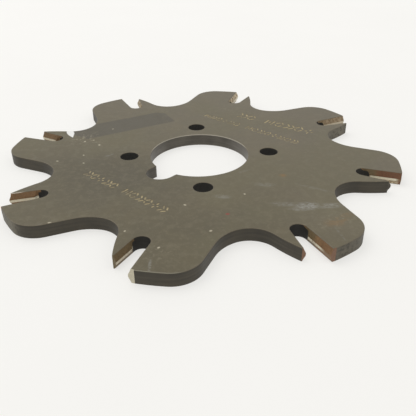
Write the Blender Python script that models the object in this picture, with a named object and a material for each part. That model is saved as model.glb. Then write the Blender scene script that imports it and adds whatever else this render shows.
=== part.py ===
"""Keyed slotting cutter: a toothed steel disc with eight empty insert slots.

Each tooth is a wide supporting lobe, then a wedge-shaped slot that an insert
is pushed into, then a narrow pointed clamping jaw, then a chip gullet. The
jaw is held by a neck between the slot's relief hole and the gullet, and it
bends open at that neck. The jaws are separate solids, cut off at the neck
line, so that each one can turn about the middle of its neck.

The frame's origin is the centre of the bore on the underside. +Z is up
through the plate, and the four drive holes lie on the X and Y axes.

A tooth is drawn in its own frame: y points outward, just beside the tip
corner of the lobe, and x points along the cutting direction, clockwise from above.
"""

import bpy
import bmesh
from math import acos, atan2, cos, degrees, radians, sin, sqrt
from mathutils import Matrix, Vector

MM = 0.001

# The plate.
TEETH = 8
PLATE_THICKNESS = 3.94 * MM
LOBE_RADIUS = 63.3 * MM
FIRST_LOBE_DEG = 28.08          # direction of the first tooth's own y axis
LOBE_CORNER_X = 0.25 * MM       # the tip corner's offset from that axis

# The centre: bore, keyway and drive holes.
BORE_RADIUS = 15.875 * MM
KEYWAY_DEG = 225.0
KEYWAY_WIDTH = 8.7 * MM
KEYWAY_REACH = 22.0 * MM        # bore centre to the round end of the keyway
DRIVE_HOLES = 4
DRIVE_HOLE_RADIUS = 2.95 * MM
DRIVE_CIRCLE_RADIUS = 22.74 * MM

# The lobe: a concentric land, a rounded trailing corner and a straight flank.
LAND_SWEEP_DEG = 7.44
TRAILING_ROUND = 8.1 * MM
FLANK_LEAN_DEG = 9.5

# The slot: a relief hole at its foot and a tapered gap above it.
RELIEF_CENTRE = Vector((1.6, 52.0)) * MM
RELIEF_RADIUS = 2.4 * MM

# The jaw: a pointed beak whose back leans into the gullet.
JAW_TIP = Vector((6.02, 59.03)) * MM
JAW_TIP_FLAT = 0.35 * MM
JAW_TIP_LEAD = 0.45             # how much further out the tip reaches per rise of the rail
JAW_BACK_LEAN_DEG = 8.0
NECK_Y = 51.9 * MM
NECK_GAP = 0.3 * MM

# The gullet: a tight arc under the jaw, then a wide one up to the next lobe.
GULLET_CENTRE = Vector((16.0, 51.6)) * MM
GULLET_RADIUS = 7.75 * MM
GULLET_RUNOUT_RADIUS = 12.0 * MM

# The V-shaped rail along both slot walls, which locates an insert.
RAIL_HEIGHT = 0.75 * MM
RAIL_CREST = 0.9 * MM

TOOTH_PITCH_DEG = 360.0 / TEETH
SHARP_ANGLE = radians(30.0)


def polar(centre, radius, angle_deg):
    """The point at an angle on a circle."""
    angle = radians(angle_deg)
    return centre + Vector((cos(angle), sin(angle))) * radius


def arc(centre, radius, start_deg, end_deg, steps):
    """Points along an arc, with both ends."""
    span = end_deg - start_deg
    return [polar(centre, radius, start_deg + span * i / steps) for i in range(steps + 1)]


def line_points(start, end, steps):
    """Points along a straight run, with both ends."""
    return [start.lerp(end, i / steps) for i in range(steps + 1)]


def direction_deg(vector):
    return degrees(atan2(vector.y, vector.x))


def circle_x(centre, radius, y, side):
    """Where a circle crosses a height y, on its right (+1) or left (-1)."""
    return centre.x + side * sqrt(radius ** 2 - (y - centre.y) ** 2)


def turned(points, angle_deg):
    """Points turned about the origin."""
    turn = Matrix.Rotation(radians(angle_deg), 2)
    return [turn @ point for point in points]


ORIGIN = Vector((0.0, 0.0))
LOBE_CORNER = Vector((LOBE_CORNER_X, sqrt(LOBE_RADIUS ** 2 - LOBE_CORNER_X ** 2)))


class SlotWall:
    """One wall of the slot: a line from an outer point, tangent to the relief hole.

    side is -1 for the lobe's wall and +1 for the jaw's. A rise of the rail
    moves the wall into the slot by that much.
    """

    def __init__(self, outer, side):
        self.outer = outer
        self.side = side
        to_outer = outer - RELIEF_CENTRE
        opening = degrees(acos(RELIEF_RADIUS / to_outer.length))
        self.tangent_deg = direction_deg(to_outer) - side * opening
        self.tangent = polar(RELIEF_CENTRE, RELIEF_RADIUS, self.tangent_deg)
        self.along = (outer - self.tangent).normalized()
        self.into_slot = (RELIEF_CENTRE - self.tangent).normalized()

    def foot_deg(self, rise):
        """The angle on the relief hole where the raised wall starts."""
        return self.tangent_deg + self.side * degrees(acos(1.0 - rise / RELIEF_RADIUS))

    def on_circle(self, rise, radius):
        """Where the raised wall crosses a circle about the plate's centre."""
        start = self.tangent + self.into_slot * rise
        half = start.dot(self.along)
        return start + self.along * (-half + sqrt(half ** 2 + radius ** 2 - start.length_squared))

    def at_height(self, y):
        """The point of the unraised wall at a height y."""
        return self.tangent + self.along * ((y - self.tangent.y) / self.along.y)


LOBE_WALL = SlotWall(LOBE_CORNER, -1)
JAW_WALL = SlotWall(JAW_TIP, 1)


class JawBack:
    """The jaw's back: a shallow arc from the gullet's start to the tip."""

    def __init__(self):
        lean = radians(JAW_BACK_LEAN_DEG)
        self.foot = polar(GULLET_CENTRE, GULLET_RADIUS, 180.0 + JAW_BACK_LEAN_DEG)
        self.tip = JAW_TIP + Vector((JAW_TIP_FLAT, 0.0))
        chord = self.tip - self.foot
        chord_lean = atan2(-chord.x, chord.y)
        self.radius = chord.length / (2.0 * sin(chord_lean - lean))
        self.centre = self.foot - Vector((cos(lean), sin(lean))) * self.radius

    def between(self, start, end, steps):
        start_deg = direction_deg(start - self.centre)
        end_deg = direction_deg(end - self.centre)
        return arc(self.centre, self.radius, start_deg, end_deg, steps)

    def at_height(self, y):
        return Vector((circle_x(self.centre, self.radius, y, 1), y))


JAW_BACK = JawBack()
HINGE_POINT = (JAW_WALL.at_height(NECK_Y) + JAW_BACK.at_height(NECK_Y)) / 2.0


def trailing_centre():
    """The centre of the lobe's trailing round, inside the land's circle."""
    return polar(ORIGIN, LOBE_RADIUS - TRAILING_ROUND, 90.0 + LAND_SWEEP_DEG)


def neck_corner(y, rise):
    """The slot side of the neck cut: on the wall, or on the hole under the rail."""
    if rise == 0.0:
        return JAW_WALL.at_height(y)
    return Vector((circle_x(RELIEF_CENTRE, RELIEF_RADIUS, y, 1), y))


def body_tooth(rise):
    """The body's outline over one tooth pitch, clockwise from above."""
    low = NECK_Y - NECK_GAP / 2.0
    trailing = arc(trailing_centre(), TRAILING_ROUND, 180.0 - FLANK_LEAN_DEG, 90.0 + LAND_SWEEP_DEG, 10)
    corner = LOBE_WALL.on_circle(rise, LOBE_RADIUS)
    land = arc(ORIGIN, LOBE_RADIUS, 90.0 + LAND_SWEEP_DEG, direction_deg(corner), 4)
    relief = arc(RELIEF_CENTRE, RELIEF_RADIUS, LOBE_WALL.foot_deg(rise), 360.0 + JAW_WALL.tangent_deg, 16)
    neck_back = JAW_BACK.at_height(low)
    back = JAW_BACK.between(neck_back, JAW_BACK.foot, 2)
    gullet = arc(GULLET_CENTRE, GULLET_RADIUS, 180.0 + JAW_BACK_LEAN_DEG, 270.0, 9)
    runout_centre = GULLET_CENTRE + Vector((0.0, GULLET_RUNOUT_RADIUS - GULLET_RADIUS))
    flank_deg = TOOTH_PITCH_DEG - FLANK_LEAN_DEG
    runout = arc(runout_centre, GULLET_RUNOUT_RADIUS, 270.0, 270.0 + flank_deg, 4)
    neck = [neck_corner(low, rise)]
    return trailing + land[1:] + relief + neck + back + gullet[1:] + runout[1:]


def jaw_outline(rise):
    """The jaw's outline in the tooth frame, clockwise from above."""
    low = NECK_Y + NECK_GAP / 2.0
    corner = neck_corner(low, rise)
    if rise == 0.0:
        foot = JAW_WALL.at_height(polar(RELIEF_CENTRE, RELIEF_RADIUS, JAW_WALL.foot_deg(RAIL_HEIGHT)).y)
        slot_side = line_points(corner, foot, 4)
    else:
        corner_deg = direction_deg(corner - RELIEF_CENTRE)
        slot_side = arc(RELIEF_CENTRE, RELIEF_RADIUS, corner_deg, JAW_WALL.foot_deg(rise), 4)
    tip = JAW_WALL.on_circle(rise, JAW_TIP.length + JAW_TIP_LEAD * rise)
    back = JAW_BACK.between(JAW_BACK.tip, JAW_BACK.at_height(low), 4)
    return slot_side + [tip] + back


def bore_outline():
    """The bore with its round-ended keyway, counter-clockwise from above."""
    half = KEYWAY_WIDTH / 2.0
    mouth_deg = degrees(atan2(half, sqrt(BORE_RADIUS ** 2 - half ** 2)))
    end_centre = Vector((KEYWAY_REACH - half, 0.0))
    bore = arc(ORIGIN, BORE_RADIUS, mouth_deg, 360.0 - mouth_deg, 72)
    keyway = arc(end_centre, half, -90.0, 90.0, 12)
    return turned(bore + keyway, KEYWAY_DEG)


def drive_hole_outlines():
    """The four plain holes around the bore."""
    outlines = []
    for index in range(DRIVE_HOLES):
        centre = polar(ORIGIN, DRIVE_CIRCLE_RADIUS, 360.0 * index / DRIVE_HOLES)
        outlines.append(arc(centre, DRIVE_HOLE_RADIUS, 0.0, 360.0, 24)[:-1])
    return outlines


def rail_levels():
    """Height through the plate and rail rise at each layer, from below."""
    low_crest = (PLATE_THICKNESS - RAIL_CREST) / 2.0
    high_crest = low_crest + RAIL_CREST
    return [
        (0.0, 0.0),
        (low_crest, RAIL_HEIGHT),
        (high_crest, RAIL_HEIGHT),
        (PLATE_THICKNESS, 0.0),
    ]


def add_ring(mesh, points, z):
    return [mesh.verts.new((point.x, point.y, z)) for point in points]


def join_rings(mesh, lower, upper):
    """A band of faces between two rings with the same number of points."""
    count = len(lower)
    for i in range(count):
        j = (i + 1) % count
        mesh.faces.new((lower[i], lower[j], upper[j], upper[i]))


def fill_cap(mesh, rings, up):
    """A flat face with holes, from closed rings of vertices."""
    edges = []
    for ring in rings:
        for i, vertex in enumerate(ring):
            neighbour = ring[(i + 1) % len(ring)]
            edges.append(mesh.edges.get((vertex, neighbour)) or mesh.edges.new((vertex, neighbour)))
    bmesh.ops.triangle_fill(mesh, use_beauty=True, edges=edges, normal=(0.0, 0.0, up))


def layered_plate(outlines, hole_outlines):
    """A closed plate from outer outlines at several heights and plain holes."""
    mesh = bmesh.new()
    outer = [add_ring(mesh, points, z) for z, points in outlines]
    for lower, upper in zip(outer, outer[1:]):
        join_rings(mesh, lower, upper)
    bottom_rings = [outer[0]]
    top_rings = [outer[-1]]
    for points in hole_outlines:
        lower = add_ring(mesh, points, outlines[0][0])
        upper = add_ring(mesh, points, outlines[-1][0])
        join_rings(mesh, lower, upper)
        bottom_rings.append(lower)
        top_rings.append(upper)
    fill_cap(mesh, bottom_rings, -1.0)
    fill_cap(mesh, top_rings, 1.0)
    bmesh.ops.recalc_face_normals(mesh, faces=mesh.faces)
    return mesh


def steel(name, colour, roughness):
    """Black-oxide finished steel."""
    material = bpy.data.materials.new(name)
    material.use_nodes = True
    shader = material.node_tree.nodes["Principled BSDF"]
    shader.inputs["Base Color"].default_value = (*colour, 1.0)
    shader.inputs["Metallic"].default_value = 0.7
    shader.inputs["Roughness"].default_value = roughness
    return material


def add_object(name, mesh, material):
    data = bpy.data.meshes.new(name)
    mesh.to_mesh(data)
    mesh.free()
    data.materials.append(material)
    data.shade_smooth()
    data.set_sharp_from_angle(angle=SHARP_ANGLE)
    item = bpy.data.objects.new(name, data)
    bpy.context.scene.collection.objects.link(item)
    return item


def tooth_turn_deg(index):
    """The turn from a tooth's own frame to the plate's frame."""
    return FIRST_LOBE_DEG - 90.0 + TOOTH_PITCH_DEG * index


def build_body():
    """The plate with its lobes, slots and gullets, without the jaws."""
    outlines = []
    for z, rise in rail_levels():
        tooth = body_tooth(rise)
        ring = []
        for index in range(TEETH):
            ring += turned(tooth, tooth_turn_deg(-index))
        outlines.append((z, ring))
    mesh = layered_plate(outlines, [bore_outline()] + drive_hole_outlines())
    return add_object("cutter_body", mesh, steel("body_steel", (0.105, 0.098, 0.078), 0.45))


def build_jaws():
    """Eight jaws, each with its origin in the middle of its neck."""
    outlines = []
    for z, rise in rail_levels():
        outlines.append((z, [point - HINGE_POINT for point in jaw_outline(rise)]))
    first = add_object("clamp_jaw_1", layered_plate(outlines, []), steel("jaw_steel", (0.12, 0.09, 0.062), 0.5))
    for index in range(TEETH):
        jaw = first
        if index > 0:
            jaw = bpy.data.objects.new(f"clamp_jaw_{index + 1}", first.data)
            bpy.context.scene.collection.objects.link(jaw)
        place = turned([HINGE_POINT], tooth_turn_deg(index))[0]
        jaw.location = (place.x, place.y, 0.0)
        jaw.rotation_euler = (0.0, 0.0, radians(tooth_turn_deg(index)))


for leftover in list(bpy.data.objects):
    bpy.data.objects.remove(leftover, do_unlink=True)
build_body()
build_jaws()
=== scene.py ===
from math import acos, atan2, cos, degrees, radians, sin, sqrt

import bmesh
import bpy
from mathutils import Matrix, Vector, noise


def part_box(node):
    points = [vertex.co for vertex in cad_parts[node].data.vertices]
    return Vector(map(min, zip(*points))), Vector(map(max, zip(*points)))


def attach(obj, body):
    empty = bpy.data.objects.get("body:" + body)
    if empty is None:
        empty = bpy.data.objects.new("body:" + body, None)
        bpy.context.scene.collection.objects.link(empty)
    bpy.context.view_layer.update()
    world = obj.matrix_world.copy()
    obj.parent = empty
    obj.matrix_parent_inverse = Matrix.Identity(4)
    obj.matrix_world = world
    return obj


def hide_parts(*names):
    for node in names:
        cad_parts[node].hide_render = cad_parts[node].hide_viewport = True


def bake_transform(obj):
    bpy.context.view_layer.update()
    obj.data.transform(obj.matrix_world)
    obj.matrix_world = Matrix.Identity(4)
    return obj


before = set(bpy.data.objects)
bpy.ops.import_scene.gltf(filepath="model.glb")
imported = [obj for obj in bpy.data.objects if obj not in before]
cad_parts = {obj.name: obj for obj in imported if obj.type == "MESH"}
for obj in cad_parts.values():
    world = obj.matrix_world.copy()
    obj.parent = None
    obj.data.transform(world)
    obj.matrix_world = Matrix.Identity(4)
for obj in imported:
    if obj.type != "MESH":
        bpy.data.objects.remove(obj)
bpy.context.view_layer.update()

MM = 0.001

# --------------------------------------------------------------------------
# Driving dimensions, the CAD's unless a comment says otherwise
# --------------------------------------------------------------------------
TEETH = 8
TOOTH_PITCH_DEG = 360.0 / TEETH
PLATE_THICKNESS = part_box("cutter_body")[1].z
LOBE_RADIUS = 63.28 * MM        # a hair inside the CAD's
FIRST_LOBE_DEG = 28.08

BORE_RADIUS = 15.875 * MM
KEYWAY_DEG = 225.0
KEYWAY_WIDTH = 8.7 * MM
KEYWAY_REACH = 22.0 * MM
DRIVE_HOLES = 4
DRIVE_HOLE_RADIUS = 2.95 * MM
DRIVE_CIRCLE_RADIUS = 22.74 * MM

LAND_SWEEP_DEG = 7.44
TRAILING_ROUND = 8.1 * MM
FLANK_LEAN_DEG = 9.5

LOBE_CORNER_X = 0.25 * MM
RELIEF_CENTRE = Vector((1.6, 52.0)) * MM
RELIEF_RADIUS = 2.4 * MM
JAW_TIP = Vector((6.02, 59.03)) * MM
JAW_TIP_FLAT = 0.35 * MM
# How much further out each jaw's tip reaches per rise of its rail. The photo's aren't all alike,
# and the CAD has 0.45 for all of them.
JAW_TIP_LEADS = (1.1, 0.45, 0.45, 0.45, 1.3, 0.6, 0.45, 1.3)
JAW_BACK_LEAN_DEG = 8.0
NECK_Y = 51.9 * MM

GULLET_CENTRE = Vector((16.0, 51.6)) * MM
GULLET_RADIUS = 7.75 * MM
GULLET_RUNOUT_RADIUS = 12.0 * MM

# Finish: the edges' rounding and the rail's rounded profile.
EDGE_ROUND = 0.14 * MM
UNDER_ROUND_SHARE = 0.4         # the underside's edges are crisper
BORE_ROUND = 0.20 * MM
EDGE_STEPS_DEG = (0.0, 30.0, 60.0, 90.0)
EDGE_WEAR = 0.30                # an edge's rounding varies by up to about this share of it
WEAR_PER_METRE = 130.0          # how often it does, along a metre
SHARP_TURN_LIMIT = 0.25         # keeps an edge's inset short where the outline turns back
SHARP_NECK_LIMIT = 0.3          # and where it slides along the neck cut
LOBE_END_X = -0.65 * MM         # the end of a lobe starts here, by the slot's mouth
LOBE_END_DROP = 0.1 * MM
CORNER_FLAT = 0.1 * MM          # width of the flats beside a jaw's tip
NECK_FOOT = 0.15 * MM           # the jaw's slot wall starts this far above the neck cut
RAIL_PROFILE = (                # height above the underside, rise above the slot wall
    (0.80 * MM, 0.30 * MM),
    (1.34 * MM, 0.59 * MM),
    (1.62 * MM, 0.68 * MM),
    (1.88 * MM, 0.70 * MM),
    (2.14 * MM, 0.70 * MM),
    (2.34 * MM, 0.68 * MM),
    (2.60 * MM, 0.57 * MM),
    (3.14 * MM, 0.27 * MM),
)
ROOT_DEPTH = 1.0 * MM           # rust reaches round into the relief hole, this far down
LOBE_ROOT_STEPS = 4             # and along this many of the hole's sides by the lobe
JAW_ROOT_STEPS = 2              # and this many by the jaw
BARE_LOW = 1.34 * MM            # between these heights inserts have rubbed the rail bright
BARE_HIGH = 2.14 * MM
SHARP_ANGLE = radians(32.0)     # edges that turn by more than this are shaded sharp

# Surfaces of the skin, each a material slot. ROOT is sloped steel above and relief below.
FACE, EDGE, RIM, SLOPE, CREST, TIP_END, RELIEF, BORE, DRIVE, ETCH = range(10)
ROOT = "root"
NECK_CUT = RELIEF               # hidden walls, where a jaw's skin meets the plate's

# Scribed strokes that spell nothing, in rows: (start, end, height, stroke width), millimetres.
MARK_ROWS_MM = (
    ((-35.2, -10.6), (-9.6, -36.1), 3.4, 0.50),
    ((16.6, 33.8), (41.4, 13.9), 4.6, 0.56),
    ((4.0, 34.6), (35.7, 4.4), 3.2, 0.46),
)
MARK_DEPTH = 0.05 * MM
MARK_PITCH = 0.86               # of the row's height
MARK_START_PER_MM = 3.0         # a taller row starts further along the order
# A mark is a few strokes in a unit cell, from (x, y) to (x, y), none of them touching.
RING_MARK = (
    (0.40, 0.02, 0.70, 0.44),
    (0.70, 0.56, 0.40, 0.98),
    (0.30, 0.90, 0.04, 0.54),
    (0.04, 0.44, 0.30, 0.10),
)
BARS_MARK = (
    (0.10, 0.10, 0.10, 0.90),
    (0.38, 0.30, 0.38, 0.70),
    (0.66, 0.10, 0.66, 0.90),
)
CROSS_MARK = (
    (0.38, 0.05, 0.38, 0.38),
    (0.38, 0.62, 0.38, 0.95),
    (0.02, 0.50, 0.26, 0.50),
    (0.50, 0.50, 0.74, 0.50),
)
ARROWS_MARK = (
    (0.08, 0.05, 0.40, 0.45),
    (0.40, 0.55, 0.08, 0.95),
    (0.48, 0.05, 0.80, 0.45),
    (0.80, 0.55, 0.48, 0.95),
)
NO_MARK = ()
MARK_ORDER = (
    RING_MARK, ARROWS_MARK, BARS_MARK, RING_MARK, NO_MARK, CROSS_MARK, RING_MARK, ARROWS_MARK,
    NO_MARK, BARS_MARK, ARROWS_MARK, RING_MARK, CROSS_MARK, ARROWS_MARK, RING_MARK, NO_MARK,
    BARS_MARK, RING_MARK, ARROWS_MARK, RING_MARK, CROSS_MARK, ARROWS_MARK,
)


# --------------------------------------------------------------------------
# Plane geometry
# --------------------------------------------------------------------------
def polar(centre, radius, angle_deg):
    angle = radians(angle_deg)
    return centre + Vector((cos(angle), sin(angle))) * radius


def arc(centre, radius, start_deg, end_deg, steps):
    span = end_deg - start_deg
    return [polar(centre, radius, start_deg + span * i / steps) for i in range(steps + 1)]


def line_points(start, end, steps):
    return [start.lerp(end, i / steps) for i in range(steps + 1)]


def direction_deg(vector):
    return degrees(atan2(vector.y, vector.x))


def circle_x(centre, radius, y):
    """Where a circle crosses a height y, on its right."""
    return centre.x + sqrt(radius ** 2 - (y - centre.y) ** 2)


def turned(points, angle_deg):
    turn = Matrix.Rotation(radians(angle_deg), 2)
    return [turn @ point for point in points]


ORIGIN = Vector((0.0, 0.0))


class SlotWall:
    """One wall of the slot: a line from an outer point, tangent to the relief hole.

    side is -1 for the lobe's wall and +1 for the jaw's. A rise of the rail
    moves the wall into the slot by that much.
    """

    def __init__(self, outer, side):
        self.side = side
        to_outer = outer - RELIEF_CENTRE
        opening = degrees(acos(RELIEF_RADIUS / to_outer.length))
        self.tangent_deg = direction_deg(to_outer) - side * opening
        self.tangent = polar(RELIEF_CENTRE, RELIEF_RADIUS, self.tangent_deg)
        self.along = (outer - self.tangent).normalized()
        self.into_slot = (RELIEF_CENTRE - self.tangent).normalized()

    def foot_deg(self, rise):
        """The angle on the relief hole where the raised wall starts."""
        return self.tangent_deg + self.side * degrees(acos(1.0 - rise / RELIEF_RADIUS))

    def on_circle(self, rise, radius):
        """Where the raised wall crosses a circle about the plate's centre."""
        start = self.tangent + self.into_slot * rise
        half = start.dot(self.along)
        return start + self.along * (-half + sqrt(half ** 2 + radius ** 2 - start.length_squared))

    def at_height(self, y):
        """The point of the unraised wall at a height y."""
        return self.tangent + self.along * ((y - self.tangent.y) / self.along.y)


LOBE_CORNER = Vector((LOBE_CORNER_X, sqrt(LOBE_RADIUS ** 2 - LOBE_CORNER_X ** 2)))
LOBE_WALL = SlotWall(LOBE_CORNER, -1)
JAW_WALL = SlotWall(JAW_TIP, 1)

# The jaw's back is an arc from the gullet's start to the tip.
BACK_LEAN = radians(JAW_BACK_LEAN_DEG)
BACK_FOOT = polar(GULLET_CENTRE, GULLET_RADIUS, 180.0 + JAW_BACK_LEAN_DEG)
BACK_TIP = JAW_TIP + Vector((JAW_TIP_FLAT, 0.0))
BACK_CHORD = BACK_TIP - BACK_FOOT
CHORD_LEAN = atan2(-BACK_CHORD.x, BACK_CHORD.y)
BACK_RADIUS = BACK_CHORD.length / (2.0 * sin(CHORD_LEAN - BACK_LEAN))
BACK_CENTRE = BACK_FOOT - Vector((cos(BACK_LEAN), sin(BACK_LEAN))) * BACK_RADIUS
NECK_BACK = Vector((circle_x(BACK_CENTRE, BACK_RADIUS, NECK_Y), NECK_Y))


def back_arc(start, end, steps):
    """The jaw's back between two of its points."""
    start_deg = direction_deg(start - BACK_CENTRE)
    end_deg = direction_deg(end - BACK_CENTRE)
    return arc(BACK_CENTRE, BACK_RADIUS, start_deg, end_deg, steps)


def neck_slot_side(rise):
    """The slot side of the neck cut: on the wall, or on the hole under the rail."""
    if rise == 0.0:
        return JAW_WALL.at_height(NECK_Y)
    return Vector((circle_x(RELIEF_CENTRE, RELIEF_RADIUS, NECK_Y), NECK_Y))


def tagged(points, tag):
    """Points, each with the kind of wall that starts at it."""
    return [(point, tag) for point in points]


def plate_tooth(rise):
    """The plate's outline over one tooth pitch, clockwise from above."""
    land_start = 90.0 + LAND_SWEEP_DEG
    land_end = 90.0 - degrees(LOBE_END_X / LOBE_RADIUS)
    centre = polar(ORIGIN, LOBE_RADIUS - TRAILING_ROUND, land_start)
    trailing = arc(centre, TRAILING_ROUND, 180.0 - FLANK_LEAN_DEG, land_start, steps=16)
    land = arc(ORIGIN, LOBE_RADIUS, land_start, land_end, steps=6)
    corner = LOBE_WALL.on_circle(rise, LOBE_RADIUS - LOBE_END_DROP)
    start_deg = LOBE_WALL.foot_deg(rise)
    end_deg = 360.0 + JAW_WALL.tangent_deg
    slot = line_points(corner, polar(RELIEF_CENTRE, RELIEF_RADIUS, start_deg), steps=10)
    relief = arc(RELIEF_CENTRE, RELIEF_RADIUS, start_deg, end_deg, steps=24)
    neck = line_points(neck_slot_side(rise), NECK_BACK, steps=4)
    back = back_arc(NECK_BACK, BACK_FOOT, steps=2)
    gullet = arc(GULLET_CENTRE, GULLET_RADIUS, 180.0 + JAW_BACK_LEAN_DEG, 270.0, steps=14)
    runout_centre = GULLET_CENTRE + Vector((0.0, GULLET_RUNOUT_RADIUS - GULLET_RADIUS))
    runout_end = 270.0 + TOOTH_PITCH_DEG - FLANK_LEAN_DEG
    runout = arc(runout_centre, GULLET_RUNOUT_RADIUS, 270.0, runout_end, steps=7)
    flank = line_points(runout[-1], turned(trailing[:1], -TOOTH_PITCH_DEG)[0], steps=5)
    outline = tagged(trailing[:-1] + land[:-1], RIM)
    outline += tagged(land[-1:], TIP_END)
    outline += tagged(slot[:-1], SLOPE)
    outline += tagged(relief[:LOBE_ROOT_STEPS], ROOT)
    outline += tagged(relief[LOBE_ROOT_STEPS:-JAW_ROOT_STEPS], RELIEF)
    outline += tagged(relief[-JAW_ROOT_STEPS:], ROOT)
    outline += tagged(neck[:-1], None)
    outline += tagged(back[:-1] + gullet[:-1] + runout[:-1] + flank[:-1], RIM)
    return outline


def jaw_tooth(rise, tip_lead):
    """A jaw's outline in the tooth frame, clockwise from above. A raised tip leads outward."""
    corner = neck_slot_side(rise)
    if rise == 0.0:
        relief = line_points(corner, JAW_WALL.at_height(NECK_Y + NECK_FOOT), steps=6)
    else:
        corner_deg = direction_deg(corner - RELIEF_CENTRE)
        foot_deg = JAW_WALL.foot_deg(rise)
        relief = arc(RELIEF_CENTRE, RELIEF_RADIUS, corner_deg, foot_deg, steps=6)
    tip = JAW_WALL.on_circle(rise, JAW_TIP.length + tip_lead * rise)
    slot = line_points(relief[-1], tip - JAW_WALL.along * CORNER_FLAT, steps=9)
    back = back_arc(BACK_TIP, NECK_BACK, steps=12)
    neck = line_points(NECK_BACK, corner, steps=4)
    outline = tagged(relief[:-1] + slot[:-1], SLOPE)
    outline += tagged([slot[-1], JAW_TIP + Vector((CORNER_FLAT, 0.0))], TIP_END)
    outline += tagged(back[:-1], RIM)
    outline += tagged(neck[:-1], None)
    return outline


def bore_outline():
    """The bore with its round-ended keyway, counter-clockwise from above."""
    half = KEYWAY_WIDTH / 2.0
    mouth_deg = degrees(atan2(half, sqrt(BORE_RADIUS ** 2 - half ** 2)))
    end_centre = Vector((KEYWAY_REACH - half, 0.0))
    bore = arc(ORIGIN, BORE_RADIUS, mouth_deg, 360.0 - mouth_deg, steps=120)
    keyway = arc(end_centre, half, -90.0, 90.0, steps=18)
    return turned(bore + keyway, KEYWAY_DEG)


def inset_vectors(outline, base_round):
    """How far each point moves inward at an edge's top, with uneven wear.

    The outline runs clockwise about the steel. At the neck cut a point moves
    along the cut, so that the jaw's skin and the plate's meet.
    """
    count = len(outline)
    moves = []
    for i, (point, tag) in enumerate(outline):
        before_point, before_tag = outline[i - 1]
        after_point = outline[(i + 1) % count][0]
        before = (point - before_point).normalized()
        after = (after_point - point).normalized()
        wear = noise.noise(Vector((point.x, point.y, 0.0)) * WEAR_PER_METRE)
        radius = base_round * (1.0 + EDGE_WEAR * wear)
        into_before = Vector((before.y, -before.x))
        into_after = Vector((after.y, -after.x))
        if tag is None and before_tag is None:
            moves.append(Vector((0.0, 0.0)))
        elif tag is None:
            moves.append(after * (radius / max(SHARP_NECK_LIMIT, after.dot(into_before))))
        elif before_tag is None:
            moves.append(-before * (radius / max(SHARP_NECK_LIMIT, -before.dot(into_after))))
        else:
            spread = max(SHARP_TURN_LIMIT, 1.0 + into_before.dot(into_after))
            moves.append((into_before + into_after) * (radius / spread))
    return moves


# --------------------------------------------------------------------------
# Skins
# --------------------------------------------------------------------------
def layers_through(edge_round, rails):
    """(height, share of the edge's inset, rail rise) for every ring, from the underside up."""
    turns = [radians(angle) for angle in EDGE_STEPS_DEG]
    rounding = [(edge_round * (1.0 - cos(turn)), 1.0 - sin(turn)) for turn in turns]
    low = [(depth * UNDER_ROUND_SHARE, inset * UNDER_ROUND_SHARE, 0.0) for depth, inset in rounding]
    high = [(PLATE_THICKNESS - depth, inset, 0.0) for depth, inset in reversed(rounding)]
    middle = [(height, 0.0, rise) for height, rise in RAIL_PROFILE] if rails else []
    return low + middle + high


def wall_material(tag, low_z, high_z, edge_round):
    """Which surface a band of wall between two heights belongs to."""
    middle = (low_z + high_z) / 2.0
    depth = min(middle / UNDER_ROUND_SHARE, PLATE_THICKNESS - middle)
    if tag is None:
        return NECK_CUT
    if depth < edge_round and tag != TIP_END:
        return EDGE
    if tag == ROOT:
        return SLOPE if PLATE_THICKNESS - middle < ROOT_DEPTH else RELIEF
    if tag == SLOPE and BARE_LOW < middle < BARE_HIGH:
        return CREST
    return tag


def add_walls(mesh, outline_at, layers, edge_round, steel_inside):
    """Bands of wall between rings. Returns the lowest and the highest ring of vertices."""
    rings = []
    for z, inset, rise in layers:
        outline = outline_at(rise)
        moves = inset_vectors(outline, edge_round)
        if not steel_inside:
            moves = [-move for move in moves]
        ring = []
        for (point, _), move in zip(outline, moves):
            place = point + move * inset
            ring.append(mesh.verts.new((place.x, place.y, z)))
        rings.append(ring)
    tags = [tag for _, tag in outline_at(0.0)]
    count = len(tags)
    for k in range(len(layers) - 1):
        low, high = rings[k], rings[k + 1]
        for i in range(count):
            j = (i + 1) % count
            wall = mesh.faces.new((low[i], low[j], high[j], high[i]))
            low_z, high_z = layers[k][0], layers[k + 1][0]
            wall.material_index = wall_material(tags[i], low_z, high_z, edge_round)
    return rings[0], rings[-1]


def add_mark(mesh, points):
    """A shallow engraved stroke. Returns its rim, which the face is filled up to."""
    rim = [mesh.verts.new((point.x, point.y, PLATE_THICKNESS)) for point in points]
    foot = [mesh.verts.new((point.x, point.y, PLATE_THICKNESS - MARK_DEPTH)) for point in points]
    for i in range(len(points)):
        j = (i + 1) % len(points)
        mesh.faces.new((rim[i], rim[j], foot[j], foot[i])).material_index = ETCH
    mesh.faces.new(foot).material_index = ETCH
    return rim


def mark_outlines():
    """Every scribed stroke as a thin pointed outline. The marks spell nothing."""
    outlines = []
    for start, end, height, width in MARK_ROWS_MM:
        start = Vector(start) * MM
        end = Vector(end) * MM
        along = (end - start).normalized()
        up = Vector((-along.y, along.x))
        pitch = height * MARK_PITCH * MM
        first_mark = int(height * MARK_START_PER_MM)
        for cell in range(int((end - start).length / pitch)):
            corner = start + along * (pitch * cell) - up * (height * MM / 2.0)
            for x0, y0, x1, y1 in MARK_ORDER[(first_mark + cell) % len(MARK_ORDER)]:
                tail = corner + (along * x0 + up * y0) * (height * MM)
                head = corner + (along * x1 + up * y1) * (height * MM)
                run = (head - tail).normalized() * (width * MM / 2.0)
                side = Vector((-run.y, run.x))
                left = [tail + run + side, head - run + side]
                right = [head - run - side, tail + run - side]
                outlines.append([tail, *left, head, *right])
    return outlines


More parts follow.
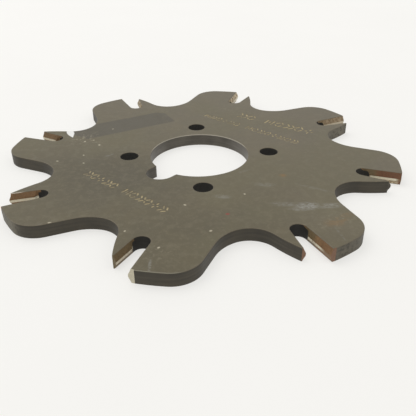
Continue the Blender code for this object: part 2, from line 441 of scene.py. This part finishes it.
def fill_cap(mesh, rings, up):
    """A flat face with holes, cut off sharply from the rounded edges around it."""
    edges = []
    for ring in rings:
        for i, vertex in enumerate(ring):
            edges.append(mesh.edges.get((vertex, ring[(i + 1) % len(ring)])))
    for edge in edges:
        edge.smooth = False
    made = bmesh.ops.triangle_fill(mesh, use_beauty=True, edges=edges, normal=(0.0, 0.0, up))
    for item in made["geom"]:
        if isinstance(item, bmesh.types.BMFace):
            item.material_index = FACE


def finish_skin(name, mesh, materials):
    """A smooth-shaded object whose corners stay sharp."""
    bmesh.ops.recalc_face_normals(mesh, faces=mesh.faces)
    for edge in mesh.edges:
        if edge.is_manifold and edge.calc_face_angle() > SHARP_ANGLE:
            edge.smooth = False
    for face in mesh.faces:
        face.smooth = True
    data = bpy.data.meshes.new(name)
    mesh.to_mesh(data)
    mesh.free()
    for material in materials:
        data.materials.append(material)
    item = bpy.data.objects.new(name, data)
    bpy.context.scene.collection.objects.link(item)
    return item


def tooth_turn_deg(index):
    """The turn from a tooth's own frame to the plate's frame."""
    return FIRST_LOBE_DEG - 90.0 + TOOTH_PITCH_DEG * index


def build_plate(materials):
    """The plate with its bore, holes, lobes, slots, gullets and marks, without the jaws."""
    def outline_at(rise):
        tooth = plate_tooth(rise)
        outline = []
        for index in range(TEETH):
            places = turned([point for point, _ in tooth], tooth_turn_deg(-index))
            outline += [(place, tag) for place, (_, tag) in zip(places, tooth)]
        return outline

    mesh = bmesh.new()
    low, high = add_walls(mesh, outline_at, layers_through(EDGE_ROUND, True), EDGE_ROUND, True)
    bottoms = [low]
    tops = [high]
    hollows = [(bore_outline(), BORE, BORE_ROUND)]
    for index in range(DRIVE_HOLES):
        centre = polar(ORIGIN, DRIVE_CIRCLE_RADIUS, 360.0 * index / DRIVE_HOLES)
        circle = arc(centre, DRIVE_HOLE_RADIUS, 0.0, 360.0, steps=48)
        hollows.append((circle[:-1], DRIVE, EDGE_ROUND))
    for points, tag, edge_round in hollows:
        ring = tagged(list(reversed(points)), tag)
        layers = layers_through(edge_round, False)
        low, high = add_walls(mesh, lambda rise: ring, layers, edge_round, False)
        bottoms.append(low)
        tops.append(high)
    tops += [add_mark(mesh, points) for points in mark_outlines()]
    fill_cap(mesh, bottoms, -1.0)
    fill_cap(mesh, tops, 1.0)
    return finish_skin("plate_skin", mesh, materials)


def build_jaw(index, materials):
    """One jaw, in its place on the plate."""
    def outline_at(rise):
        jaw = jaw_tooth(rise, JAW_TIP_LEADS[index])
        places = turned([point for point, _ in jaw], tooth_turn_deg(index))
        return [(place, tag) for place, (_, tag) in zip(places, jaw)]

    mesh = bmesh.new()
    low, high = add_walls(mesh, outline_at, layers_through(EDGE_ROUND, True), EDGE_ROUND, True)
    fill_cap(mesh, [low], -1.0)
    fill_cap(mesh, [high], 1.0)
    return finish_skin(f"jaw_skin_{index + 1}", mesh, materials)


# --------------------------------------------------------------------------
# Materials
# --------------------------------------------------------------------------
NOISE_LOW = 0.25                # most of a noise's values lie between these
NOISE_HIGH = 0.75


def srgb(red, green, blue):
    """A display colour, 0 to 255, as a linear one."""
    linear = []
    for value in (red, green, blue):
        share = value / 255.0
        linear.append(share / 12.92 if share <= 0.04045 else ((share + 0.055) / 1.055) ** 2.4)
    return (*linear, 1.0)


class Finish:
    """A Principled material and short calls that add nodes to it."""

    def __init__(self, name, metallic, roughness):
        self.material = bpy.data.materials.new(name)
        self.material.use_nodes = True
        self.tree = self.material.node_tree
        self.shader = self.tree.nodes["Principled BSDF"]
        self.shader.inputs["Metallic"].default_value = metallic
        self.shader.inputs["Roughness"].default_value = roughness
        self.place = self.node("ShaderNodeTexCoord").outputs["Object"]

    def node(self, kind, **settings):
        made = self.tree.nodes.new(kind)
        for key, value in settings.items():
            setattr(made, key, value)
        return made

    def feed(self, socket, value):
        if isinstance(value, bpy.types.NodeSocket):
            self.tree.links.new(value, socket)
        else:
            socket.default_value = value

    def scaled(self, x, y, z, turn_deg=0.0, origin=(0.0, 0.0, 0.0)):
        """The place on the object, moved to an origin, turned and then stretched."""
        moved = self.node("ShaderNodeVectorMath", operation="SUBTRACT")
        self.feed(moved.inputs[0], self.place)
        moved.inputs[1].default_value = origin
        turn = self.node("ShaderNodeVectorRotate", rotation_type="Z_AXIS")
        self.feed(turn.inputs["Vector"], moved.outputs[0])
        turn.inputs["Angle"].default_value = radians(-turn_deg)
        stretch = self.node("ShaderNodeVectorMath", operation="MULTIPLY")
        self.feed(stretch.inputs[0], turn.outputs[0])
        stretch.inputs[1].default_value = (x, y, z)
        return stretch.outputs[0]

    def noise(self, size_mm, detail, rough=0.55, place=None, warp=0.0):
        """Soft random patches, 0 to 1, of about a size, or as a given place is stretched."""
        made = self.node("ShaderNodeTexNoise")
        self.feed(made.inputs["Vector"], place or self.place)
        made.inputs["Scale"].default_value = 1.0 if place else 1.0 / (size_mm * MM)
        made.inputs["Detail"].default_value = detail
        made.inputs["Roughness"].default_value = rough
        made.inputs["Distortion"].default_value = warp
        return made.outputs["Fac"]

    def math(self, operation, first, second=0.0, third=0.0):
        made = self.node("ShaderNodeMath", operation=operation)
        for socket, value in zip(made.inputs, (first, second, third)):
            self.feed(socket, value)
        return made.outputs[0]

    def step(self, value, low, high):
        """0 below low, 1 above high, smooth between. Falls if low is above high."""
        made = self.node("ShaderNodeMapRange", interpolation_type="SMOOTHSTEP")
        self.feed(made.inputs["Value"], value)
        made.inputs["From Min"].default_value = min(low, high)
        made.inputs["From Max"].default_value = max(low, high)
        made.inputs["To Min"].default_value = 0.0 if low < high else 1.0
        made.inputs["To Max"].default_value = 1.0 if low < high else 0.0
        return made.outputs["Result"]

    def span(self, value, low, high):
        """A noise's value, spread over a range."""
        made = self.node("ShaderNodeMapRange")
        self.feed(made.inputs["Value"], value)
        made.inputs["From Min"].default_value = NOISE_LOW
        made.inputs["From Max"].default_value = NOISE_HIGH
        made.inputs["To Min"].default_value = low
        made.inputs["To Max"].default_value = high
        return made.outputs["Result"]

    def mix(self, share, first, second):
        """The first colour where the share is 0, the second where it is 1."""
        made = self.node("ShaderNodeMix", data_type="RGBA")
        self.feed(made.inputs["Factor"], share)
        self.feed(made.inputs["A"], first)
        self.feed(made.inputs["B"], second)
        return made.outputs["Result"]

    def tint(self, colour, share, strength, over):
        """A colour with another laid over it, by a share times a strength."""
        return self.mix(self.math("MULTIPLY", share, strength), colour, over)

    def axes(self):
        """The place's x, y and z."""
        made = self.node("ShaderNodeSeparateXYZ")
        self.feed(made.inputs[0], self.place)
        return made.outputs

    def patch(self, centre_mm, length_mm, width_mm, turn_deg, soft):
        """1 inside a soft-edged turned oval, 0 outside."""
        place = self.scaled(
            2.0 / (length_mm * MM),
            2.0 / (width_mm * MM),
            0.0,
            turn_deg,
            (centre_mm[0] * MM, centre_mm[1] * MM, 0.0),
        )
        length = self.node("ShaderNodeVectorMath", operation="LENGTH")
        self.feed(length.inputs[0], place)
        return self.step(length.outputs["Value"], 1.0 + soft, 1.0 - soft)

    def patches(self, ovals, soft):
        """The strongest of several soft ovals: (centre, length, width, turn, strength)."""
        total = None
        for centre, length, width, turn, strength in ovals:
            oval = self.math("MULTIPLY", self.patch(centre, length, width, turn, soft), strength)
            total = oval if total is None else self.math("MAXIMUM", total, oval)
        return total

    def polygon(self, corners_mm, soft_mm):
        """1 inside a convex outline that runs clockwise, 0 outside, with soft sides."""
        total = None
        half_soft = soft_mm * MM / 2.0
        for i, (x0, y0) in enumerate(corners_mm):
            x1, y1 = corners_mm[(i + 1) % len(corners_mm)]
            side = Vector((y1 - y0, x0 - x1)).normalized()
            across = self.node("ShaderNodeVectorMath", operation="DOT_PRODUCT")
            self.feed(across.inputs[0], self.place)
            across.inputs[1].default_value = (side.x, side.y, 0.0)
            edge = (side.x * x0 + side.y * y0) * MM
            inside = self.step(across.outputs["Value"], edge - half_soft, edge + half_soft)
            total = inside if total is None else self.math("MULTIPLY", total, inside)
        return total

    def colour(self, value):
        self.feed(self.shader.inputs["Base Color"], value)

    def rough(self, value):
        self.feed(self.shader.inputs["Roughness"], value)

    def bump(self, height, depth_mm):
        """Fine relief in the shading only."""
        made = self.node("ShaderNodeBump")
        made.inputs["Distance"].default_value = depth_mm * MM
        self.feed(made.inputs["Height"], height)
        self.feed(self.shader.inputs["Normal"], made.outputs["Normal"])


# Marks of wear on the upper face, placed as in the photo, in millimetres on the plate.
SPECKS_MM = (                   # pale chips in the oxide: x, y, radius
    (-5.5, -32.5, 0.42), (11.5, -27.7, 0.38), (-45.5, -1.9, 0.40), (-37.7, 1.9, 0.36),
    (-36.9, -4.0, 0.36), (0.7, -45.9, 0.42), (-40.8, -39.0, 0.50),
    (-21.0, -44.4, 0.34), (-30.2, 23.5, 0.34), (-38.8, 13.0, 0.46), (-33.5, 9.7, 0.50),
    (-35.9, 13.9, 0.34), (-12.3, -52.3, 0.40),
)
STAIN_MM = ((-47.0, 21.0), (-36.9, 28.7), (-15.1, 38.7), (-11.6, 37.9), (-7.8, 29.3), (-38.0, 15.1))
# A near-white spot by the left edge: a scuffed patch with a painted glint of light on it.
GLINT_SPOT_MM = ((-46.6, 22.6), (-44.1, 22.4), (-43.5, 20.4), (-43.5, 16.8), (-45.1, 18.7), (-46.2, 20.7))
# Soft ovals: (centre, length, width, turn, strength).
FACE_SHADE = (
    ((-28.0, -13.0), 42.0, 28.0, -20.0, 0.75),
    ((5.0, -42.0), 50.0, 14.0, 10.0, 0.20),
)
FACE_PALE = (
    ((42.0, -40.0), 34.0, 24.0, 0.0, 0.5),
)
FACE_BLOTCHES = (
    ((-39.5, 16.0), 11.0, 8.0, 60.0, 0.8),
    ((-34.5, 11.8), 9.0, 3.0, -35.0, 0.5),
    ((14.2, 39.0), 12.0, 4.0, -30.0, 0.35),
    ((-12.5, -55.0), 9.0, 6.0, 0.0, 0.35),
    ((33.0, -43.5), 12.0, 7.0, 20.0, 0.4),
)
FACE_SCUFFS = (
    ((27.6, -35.6), 6.0, 3.4, 0.0, 0.80),
    ((33.6, -35.9), 6.0, 2.4, 4.0, 0.55),
    ((22.0, -34.2), 7.0, 2.2, -8.0, 0.30),
    ((24.8, -37.3), 4.6, 1.4, -14.0, 0.35),
    ((18.1, -22.6), 5.0, 2.2, -10.0, 0.26),
    ((5.1, -28.8), 4.4, 2.0, -14.0, 0.32),
    ((32.0, -25.8), 9.0, 1.2, -32.0, 0.18),
    ((12.9, -13.6), 5.0, 1.0, 25.0, 0.15),
    ((-29.3, 1.2), 3.2, 1.0, 40.0, 0.30),
    ((-14.2, -59.3), 5.5, 0.7, 88.0, 0.40),
    ((32.8, -49.6), 5.4, 0.6, -81.0, 0.25),
    ((-44.0, -41.0), 4.0, 1.0, 60.0, 0.20),
)
FACE_RUST = (
    ((33.4, -44.0), 6.0, 3.4, 20.0, 0.55),
    ((37.4, -41.0), 4.0, 2.0, 20.0, 0.5),
    ((24.3, -17.3), 2.2, 1.8, 0.0, 0.8),
)


def tooth_spot(index, x, y):
    """A spot given in a tooth's frame, in millimetres, as a spot on the plate."""
    spot = turned([Vector((x, y))], tooth_turn_deg(index))[0]
    return (spot.x, spot.y)


def face_oxide_and_sheen(finish, cloud, grain):
    """The oxide on both faces, mottled, and lighter and greyer toward the far right: a painted sheen
    of light glancing off the face there.
    """
    x, y, _ = finish.axes()
    across = finish.math("MULTIPLY_ADD", x, 0.75, finish.math("MULTIPLY", y, 0.8))
    # far: the share of the painted sheen, from the near left to the far right
    far = finish.step(across, -55.0 * MM, 55.0 * MM)
    near_tone = finish.mix(finish.span(cloud, 0.0, 1.0), srgb(83, 76, 55), srgb(97, 89, 67))
    sheen_tone = finish.mix(finish.span(cloud, 0.0, 1.0), srgb(95, 88, 71), srgb(109, 101, 84))
    colour = finish.mix(far, near_tone, sheen_tone)
    colour = finish.mix(finish.patches(FACE_SHADE, 0.7), colour, srgb(80, 74, 57))
    colour = finish.mix(finish.patches(FACE_PALE, 0.7), colour, srgb(112, 104, 84))
    olive = finish.step(finish.noise(30.0, 2.0, 0.5), 0.44, 0.62)
    colour = finish.tint(colour, olive, 0.5, srgb(99, 93, 69))
    fleck = finish.step(finish.noise(2.2, 4.0, 0.65, warp=0.4), 0.46, 0.66)
    colour = finish.tint(colour, fleck, 0.22, srgb(118, 111, 90))
    return finish.tint(colour, finish.step(grain, 0.50, 0.72), 0.22, srgb(126, 117, 96))


def face_wear(finish, colour):
    """The upper face's stain, blotches, scuffs, rust, red dot and chips, and a scuffed spot with a
    painted glint on it, over its oxide.
    """
    mottle = finish.step(finish.noise(2.6, 3.0, 0.6), 0.26, 0.50)
    stain = finish.math("MULTIPLY", finish.polygon(STAIN_MM, 0.5), finish.span(mottle, 0.62, 0.85))
    colour = finish.mix(stain, colour, srgb(82, 77, 65))
    speckle = finish.step(finish.noise(1.3, 4.0, 0.7), 0.52, 0.66)
    colour = finish.tint(colour, finish.patches(FACE_BLOTCHES, 0.6), speckle, srgb(142, 134, 112))
    streaks = finish.noise(1.0, 5.0, 0.7, finish.scaled(700.0, 1300.0, 0.0, -8.0))
    streaks = finish.step(streaks, 0.36, 0.62)
    colour = finish.tint(colour, finish.patches(FACE_SCUFFS, 0.6), streaks, srgb(152, 152, 147))
    rusting = finish.step(finish.noise(1.4, 3.0, 0.6), 0.36, 0.56)
    rust = finish.math("MULTIPLY", finish.patches(FACE_RUST, 0.6), rusting)
    colour = finish.tint(colour, rust, 0.8, srgb(128, 98, 58))
    colour = finish.mix(finish.patch((5.7, -38.1), 1.1, 0.8, 0.0, 0.5), colour, srgb(132, 62, 52))
    chips = None
    for x, y, radius in SPECKS_MM:
        chip = finish.patch((x, y), 1.9 * radius, 1.4 * radius, 40.0 * x, 0.5)
        chips = chip if chips is None else finish.math("MAXIMUM", chips, chip)
    colour = finish.mix(chips, colour, srgb(176, 168, 146))
    # the near-white spot: a painted glint on a scuffed patch
    return finish.mix(finish.polygon(GLINT_SPOT_MM, 0.25), colour, srgb(232, 232, 230))


def face_finish():
    """The ground faces: dull olive oxide with a painted sheen toward the far right, worn above and
    only lightly rubbed beneath.
    """
    finish = Finish("oxide_face", 0.12, 0.55)
    cloud = finish.noise(9.0, 4.0, 0.6, warp=0.6)
    grain = finish.noise(0.9, 4.0, 0.7)
    # the faces' oxide, with the painted sheen toward the far right in it
    oxide = face_oxide_and_sheen(finish, cloud, grain)
    rubbed = finish.step(finish.noise(14.0, 4.0, 0.65, warp=1.2), 0.56, 0.70)
    underside = finish.tint(oxide, rubbed, 0.22, srgb(132, 126, 108))
    _, _, z = finish.axes()
    upper = finish.step(z, 1.0 * MM, 3.0 * MM)
    finish.colour(finish.mix(upper, underside, face_wear(finish, oxide)))
    finish.rough(finish.span(cloud, 0.50, 0.62))
    finish.bump(grain, 0.01)
    return finish.material


def etch_finish():
    """Scribed strokes: tan, rubbed dark here and there."""
    finish = Finish("scribed_mark", 0.2, 0.5)
    worn = finish.step(finish.noise(1.8, 3.0, 0.6), 0.34, 0.56)
    faded = finish.step(finish.noise(9.0, 2.0, 0.5), 0.52, 0.66)
    colour = finish.mix(worn, srgb(124, 112, 82), srgb(166, 151, 114))
    finish.colour(finish.tint(colour, faded, 0.55, srgb(108, 100, 80)))
    finish.bump(worn, 0.01)
    return finish.material


def wall_finish(name, tones, metallic, roughness, place_share=None):
    """A cut wall with faint lines along it.

    The tones are a dark and a light one, and a second such pair where place_share says.
    """
    finish = Finish(name, metallic, roughness)
    lines = finish.noise(1.0, 3.0, 0.55, finish.scaled(70.0, 70.0, 1700.0))
    cloud = finish.noise(6.0, 3.0, 0.6)
    share = finish.math("MULTIPLY_ADD", lines, 0.5, finish.math("MULTIPLY", cloud, 0.5))
    share = finish.step(share, 0.30, 0.70)
    colour = finish.mix(share, *tones[:2])
    if place_share:
        colour = finish.mix(place_share(finish), colour, finish.mix(share, *tones[2:]))
    finish.colour(colour)
    finish.rough(finish.span(cloud, roughness - 0.05, roughness + 0.08))
    finish.bump(lines, 0.015)
    return finish.material


def bore_sides(finish):
    """The bore, but not its keyway, is lighter at both sides than at its middle."""
    x, _, _ = finish.axes()
    side = finish.step(finish.math("ABSOLUTE", x), 9.0 * MM, 14.5 * MM)
    return finish.math("MULTIPLY", side, finish.patch((0.0, 0.0), 32.6, 32.6, 0.0, 0.01))


def lighter_rim_blotches(finish):
    """One jaw's back and two lobes' lands are lighter, in blotches. On the left-hand land this is
    painted light falling from the left.
    """
    spots = finish.patches((
        (tooth_spot(0, 9.0, 54.0), 16.0, 6.0, 28.0, 1.0),
        (tooth_spot(4, -4.5, 62.5), 13.0, 5.0, 118.0, 0.9),
        (tooth_spot(6, -4.5, 62.5), 13.0, 5.0, 208.0, 0.7),
    ), 0.3)
    blotches = finish.step(finish.noise(1.2, 3.0, 0.65), 0.30, 0.56)
    return finish.math("MULTIPLY", spots, blotches)


def edge_finish():
    """Rounded edges: oxide like the faces', worn through to tan steel in a few places, with painted
    highlights along one land's edge and the bore's far edge.
    """
    finish = Finish("worn_edge", 0.2, 0.5)
    worn = finish.step(finish.noise(3.6, 4.0, 0.65), 0.60, 0.70)
    fine = finish.noise(0.6, 3.0, 0.6)
    bare = finish.mix(fine, srgb(116, 102, 80), srgb(150, 138, 116))
    oxide = finish.mix(fine, srgb(94, 86, 70), srgb(110, 101, 84))
    colour = finish.tint(oxide, worn, 0.8, bare)
    # A painted highlight along the top edge of tooth 5's land.
    land_edge_highlight = finish.patch(tooth_spot(5, -4.0, 62.9), 18.0, 4.0, 163.0, 0.3)
    colour = finish.tint(colour, land_edge_highlight, 0.6, srgb(142, 139, 122))
    nick = finish.patch(tooth_spot(4, 5.8, 57.4), 4.2, 1.6, 208.0, 0.5)
    colour = finish.mix(nick, colour, srgb(196, 186, 170))
    # A painted highlight on the rounded top edge at the bore's far side.
    _, y, _ = finish.axes()
    by_bore = finish.patch((0.0, 0.0), 34.0, 34.0, 0.0, 0.02)
    bore_far_edge_highlight = finish.math("MULTIPLY", by_bore, finish.step(y, 0.0, 8.0 * MM))
    finish.colour(finish.tint(colour, bore_far_edge_highlight, 0.85, srgb(166, 160, 146)))
    finish.bump(fine, 0.01)
    return finish.material


def slope_finish():
    """The rails' slopes: rust-brown near the front, tan and olive at the back, blotched, and pale tan
    on three far slopes with painted cream highlights.
    """
    finish = Finish("rusty_slope", 0.1, 0.6)
    cloud = finish.noise(2.2, 4.0, 0.65, warp=0.5)
    fine = finish.noise(0.45, 4.0, 0.7)
    brown = finish.mix(finish.span(cloud, 0.0, 1.0), srgb(104, 81, 52), srgb(140, 107, 72))
    tan = finish.mix(finish.span(cloud, 0.0, 1.0), srgb(104, 92, 68), srgb(140, 125, 98))
    _, y, z = finish.axes()
    colour = finish.mix(finish.step(y, 12.0 * MM, 45.0 * MM), brown, tan)
    red = finish.patches((
        (tooth_spot(7, 0.0, 60.0), 10.0, 8.0, 0.0, 1.0),
        (tooth_spot(6, 0.0, 61.5), 6.0, 5.0, 0.0, 0.3),
        (tooth_spot(4, 5.0, 56.0), 8.0, 7.0, 0.0, 0.15),
    ), 0.5)
    colour = finish.mix(red, colour, srgb(104, 68, 42))
    olive = finish.patches((
        (tooth_spot(5, 5.0, 55.5), 12.0, 9.0, 0.0, 0.7),
        (tooth_spot(7, 0.2, 53.6), 4.0, 4.0, 0.0, 0.8),
        (tooth_spot(6, 0.2, 54.0), 5.0, 5.0, 0.0, 0.8),
    ), 0.4)
    colour = finish.mix(olive, colour, srgb(96, 84, 56))
    # Pale tan on three far slopes, flecked with painted cream highlights; the same colour is laid
    # where the rail is rubbed.
    pale_highlit_share = finish.patches((
        (tooth_spot(1, 0.0, 58.5), 16.0, 7.0, 73.0, 1.0),
        (tooth_spot(2, 5.4, 56.5), 14.0, 7.0, 118.0, 0.75),
        (tooth_spot(0, 0.0, 58.5), 14.0, 7.0, 28.0, 0.30),
    ), 0.3)
    cream_highlight_share = finish.step(finish.noise(1.1, 3.0, 0.6), 0.42, 0.60)
    pale = finish.mix(cream_highlight_share, srgb(140, 122, 92), srgb(206, 190, 160))
    colour = finish.mix(pale_highlit_share, colour, pale)
    below_rail = finish.step(z, BARE_LOW + 0.3 * MM, BARE_LOW - 0.1 * MM)
    rubbed = finish.patch(tooth_spot(7, 0.2, 60.6), 3.4, 3.4, 0.0, 0.4)
    colour = finish.tint(colour, rubbed, below_rail, pale)
    colour = finish.tint(colour, finish.step(fine, 0.50, 0.70), 0.5, srgb(62, 52, 38))
    finish.colour(colour)
    finish.rough(finish.span(fine, 0.5, 0.7))
    finish.bump(fine, 0.03)
    return finish.material


def crest_finish():
    """The bare strip along the rails, rubbed bright by inserts and stained in places."""
    finish = Finish("bare_strip", 0.3, 0.42)
    cloud = finish.noise(1.8, 4.0, 0.65)
    fine = finish.noise(0.5, 3.0, 0.65)
    bare = finish.mix(fine, srgb(186, 177, 152), srgb(222, 215, 194))
    stained = finish.math("MULTIPLY", finish.step(cloud, 0.56, 0.70), 0.8)
    dulled = finish.patches((
        (tooth_spot(6, 0.0, 63.0), 6.4, 6.4, 0.0, 1.0),
        (tooth_spot(7, 0.2, 63.6), 3.4, 3.4, 0.0, 1.0),
        (tooth_spot(3, 4.0, 52.4), 2.6, 2.6, 0.0, 1.0),
        (tooth_spot(5, 5.4, 56.5), 12.0, 9.0, 0.0, 0.25),
        (tooth_spot(0, 0.0, 58.0), 14.0, 9.0, 0.0, 0.35),
        (tooth_spot(2, 5.4, 56.5), 12.0, 9.0, 0.0, 0.55),
    ), 0.35)
    finish.colour(finish.mix(finish.math("MAXIMUM", stained, dulled), bare, srgb(118, 92, 62)))
    finish.bump(fine, 0.02)
    return finish.material


def tip_finish():
    """The rails' ends at the slots' mouths: two bare, one olive, one dark, the rest rust-tinted."""
    finish = Finish("mouth_end", 0.2, 0.5)
    fine = finish.noise(0.7, 4.0, 0.65)
    colour = finish.mix(fine, srgb(98, 70, 50), srgb(132, 98, 74))
    olive = finish.patch(tooth_spot(5, 6.2, 59.0), 3.4, 3.4, 0.0, 0.3)
    colour = finish.mix(olive, colour, finish.mix(fine, srgb(84, 72, 48), srgb(112, 98, 68)))
    dark = finish.patch(tooth_spot(7, 6.0, 59.2), 3.4, 3.4, 0.0, 0.3)
    colour = finish.mix(dark, colour, finish.mix(fine, srgb(52, 47, 38), srgb(74, 66, 54)))
    bare = finish.patches((
        (tooth_spot(5, 0.0, 63.0), 6.0, 6.0, 0.0, 1.0),
        (tooth_spot(1, 0.0, 63.0), 6.0, 6.0, 0.0, 0.6),
    ), 0.2)
    finish.colour(finish.mix(bare, colour, finish.mix(fine, srgb(166, 158, 134), srgb(206, 200, 180))))
    finish.bump(fine, 0.02)
    return finish.material


def make_materials():
    """One material for each kind of surface, in the order of the slots."""
    return [
        face_finish(),
        edge_finish(),
        # The second, lighter pair of tones goes in the rims' lighter blotches; on the left-hand land
        # it is painted light from the left.
        wall_finish(
            "milled_rim",
            (srgb(46, 42, 32), srgb(68, 62, 50), srgb(84, 79, 66), srgb(106, 100, 84)),
            0.12,
            0.55,
            lighter_rim_blotches,
        ),
        slope_finish(),
        crest_finish(),
        tip_finish(),
        # Near-black walls of the relief holes: dark oxide with painted shade of the deep hole over it.
        wall_finish("relief_wall", (srgb(26, 25, 21), srgb(38, 36, 31)), 0.0, 0.7),
        wall_finish(
            "bore_wall",
            (srgb(68, 64, 56), srgb(92, 87, 78), srgb(90, 86, 79), srgb(110, 106, 99)),
            0.3,
            0.45,
            bore_sides,
        ),
        # Near-black walls of the drive holes: dark oxide with painted shade of the deep hole over it.
        wall_finish("drive_hole_wall", (srgb(28, 27, 23), srgb(42, 40, 35)), 0.0, 0.7),
        etch_finish(),
    ]


# --------------------------------------------------------------------------
# Studio
# --------------------------------------------------------------------------
CAMERA_PLACE = Vector((2.62, -157.91, 77.72)) * MM
CAMERA_TURN_DEG = -3.193        # about the bore, so that the drive holes lie on the axes
CAMERA_DOWN_DEG = 30.880
CAMERA_ROLL_DEG = -0.564
CAMERA_LENS = 45.98
CAMERA_SENSOR = 36.0
CAMERA_CLIP = 5.0 * MM
FLOOR_HALF = 4.0                # metres, so that its edge is far away in a low view
FLOOR_GAP = 0.02 * MM           # below the cutter
FLOOR_TONES = ((0.275, 0.272, 0.26, 1.0), (0.295, 0.292, 0.28, 1.0))
FLOOR_GLOW = 0.62               # the lit table top, which leaves almost no shadow
FLOOR_GLOW_COLOUR = (1.0, 0.99, 0.965, 1.0)
SKY_COLOUR = (1.0, 0.995, 0.98, 1.0)
SKY_STRENGTH = 0.82
SOFTBOX_PLACE = Vector((-0.5, 0.45, 1.1))
SOFTBOX_SIZE = 1.1
SOFTBOX_WATTS = 4.5
SOFTBOX_COLOUR = (1.0, 0.995, 0.985)


def make_floor():
    """A wide pale table top under the cutter."""
    mesh = bmesh.new()
    signs = [(-1.0, -1.0), (1.0, -1.0), (1.0, 1.0), (-1.0, 1.0)]
    mesh.faces.new([mesh.verts.new((x * FLOOR_HALF, y * FLOOR_HALF, -FLOOR_GAP)) for x, y in signs])
    data = bpy.data.meshes.new("floor")
    mesh.to_mesh(data)
    mesh.free()
    finish = Finish("pale_floor", 0.0, 0.9)
    finish.colour(finish.mix(finish.noise(60.0, 2.0), *FLOOR_TONES))
    finish.shader.inputs["Emission Color"].default_value = FLOOR_GLOW_COLOUR
    finish.shader.inputs["Emission Strength"].default_value = FLOOR_GLOW
    data.materials.append(finish.material)
    floor = bpy.data.objects.new("floor", data)
    bpy.context.scene.collection.objects.link(floor)


def make_lights():
    """An even pale sky and a large soft light that faces the cutter."""
    world = bpy.data.worlds.new("studio")
    world.use_nodes = True
    sky = world.node_tree.nodes["Background"]
    sky.inputs["Color"].default_value = SKY_COLOUR
    sky.inputs["Strength"].default_value = SKY_STRENGTH
    bpy.context.scene.world = world
    bpy.context.scene.view_settings.view_transform = "Standard"
    light = bpy.data.lights.new("overhead_softbox", "AREA")
    light.shape = "DISK"
    light.size = SOFTBOX_SIZE
    light.energy = SOFTBOX_WATTS
    light.color = SOFTBOX_COLOUR
    item = bpy.data.objects.new("overhead_softbox", light)
    item.location = SOFTBOX_PLACE
    item.rotation_mode = "QUATERNION"
    item.rotation_quaternion = (-SOFTBOX_PLACE).to_track_quat("-Z", "Y")
    bpy.context.scene.collection.objects.link(item)


def make_camera():
    """The photo's camera, solved from the bore, the drive holes and the teeth."""
    camera = bpy.data.cameras.new("camera")
    camera.lens = CAMERA_LENS
    camera.sensor_width = CAMERA_SENSOR
    camera.clip_start = CAMERA_CLIP
    down = radians(CAMERA_DOWN_DEG)
    roll = radians(CAMERA_ROLL_DEG)
    ahead = Vector((0.0, cos(down), -sin(down)))
    right = Vector((1.0, 0.0, 0.0))
    up = right.cross(ahead)
    right, up = right * cos(roll) + up * sin(roll), up * cos(roll) - right * sin(roll)
    turn = Matrix.Rotation(radians(CAMERA_TURN_DEG), 3, "Z")
    axes = Matrix((turn @ right, turn @ up, turn @ -ahead)).transposed()
    item = bpy.data.objects.new("camera", camera)
    item.matrix_world = Matrix.Translation(turn @ CAMERA_PLACE) @ axes.to_4x4()
    bpy.context.scene.collection.objects.link(item)
    bpy.context.scene.camera = item


# --------------------------------------------------------------------------
# The scene
# --------------------------------------------------------------------------
make_camera()
make_lights()
make_floor()

skin_materials = make_materials()
plate = build_plate(skin_materials)
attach(plate, "cutter")
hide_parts("cutter_body")

for tooth in range(TEETH):
    number = tooth + 1
    jaw = build_jaw(tooth, skin_materials)
    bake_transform(jaw)
    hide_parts(f"clamp_jaw_{number}")
